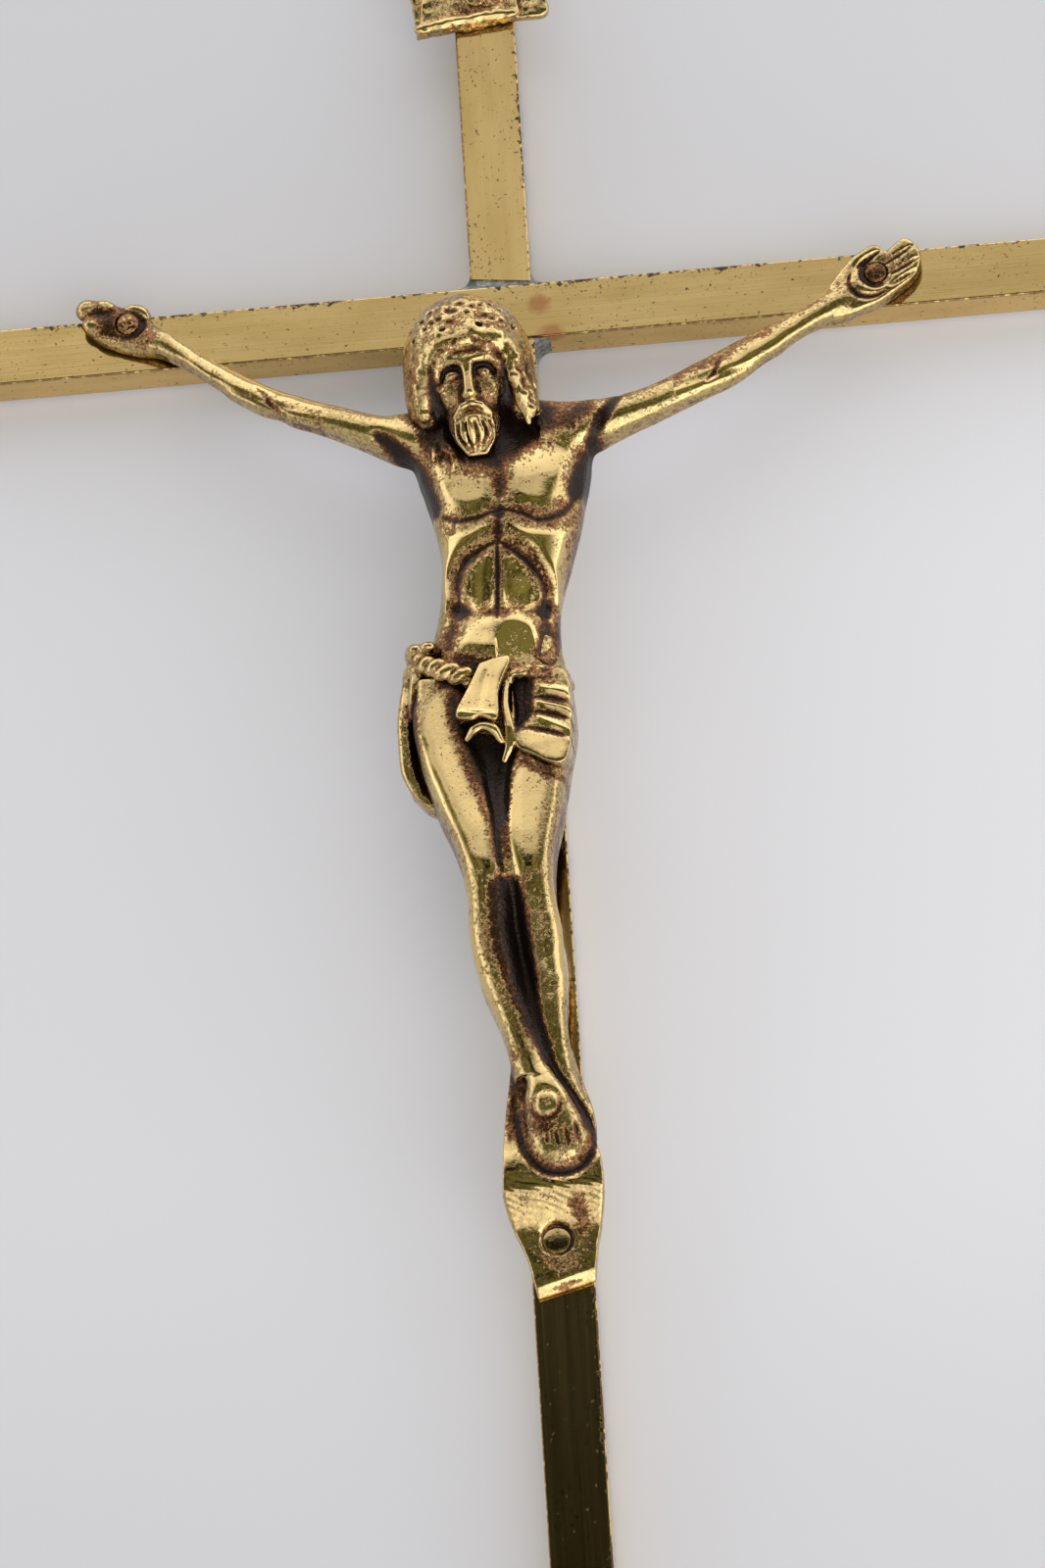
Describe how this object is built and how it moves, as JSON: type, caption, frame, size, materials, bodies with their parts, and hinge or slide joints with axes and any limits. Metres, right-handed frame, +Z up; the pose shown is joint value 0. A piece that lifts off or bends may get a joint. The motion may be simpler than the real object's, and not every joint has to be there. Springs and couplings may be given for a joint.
{
  "type": "wall crucifix",
  "caption": "Brass wall crucifix: two lapped and soldered rectangular tubes with a riveted cast figure, a bare scroll title plate and a hanging hole in the back.",
  "frame": {"origin": "middle of the hanging hole, on the back face that lies against the wall", "axes": "+Z up along the upright, +X to the viewer's right along the crossbar, +Y into the wall, so the front faces -Y"},
  "size_m": [0.1906, 0.0288, 0.305],
  "materials": {
    "bar_brass": "drawn and lightly brushed, with dark oxide spots along the edges",
    "cast_brass": "antique cast brass, dark in the recesses and rubbed bright on the high parts",
    "solder": "dull grey soft solder",
    "rivet_brass": "filed and worn"
  },
  "bodies": {
    "root": {"upright_tube": "bar_brass", "crossbar_tube": "bar_brass", "top_plug": "bar_brass", "foot_plug": "bar_brass", "left_plug": "bar_brass", "right_plug": "bar_brass", "solder_top_seam": "solder", "solder_bottom_seam": "solder", "solder_corner_fillets": "solder", "corpus": "cast_brass", "title_plate": "cast_brass", "left_hand_rivet": "rivet_brass", "right_hand_rivet": "rivet_brass", "foot_rivet": "rivet_brass", "title_rivet": "rivet_brass"}
  },
  "joints": []
}
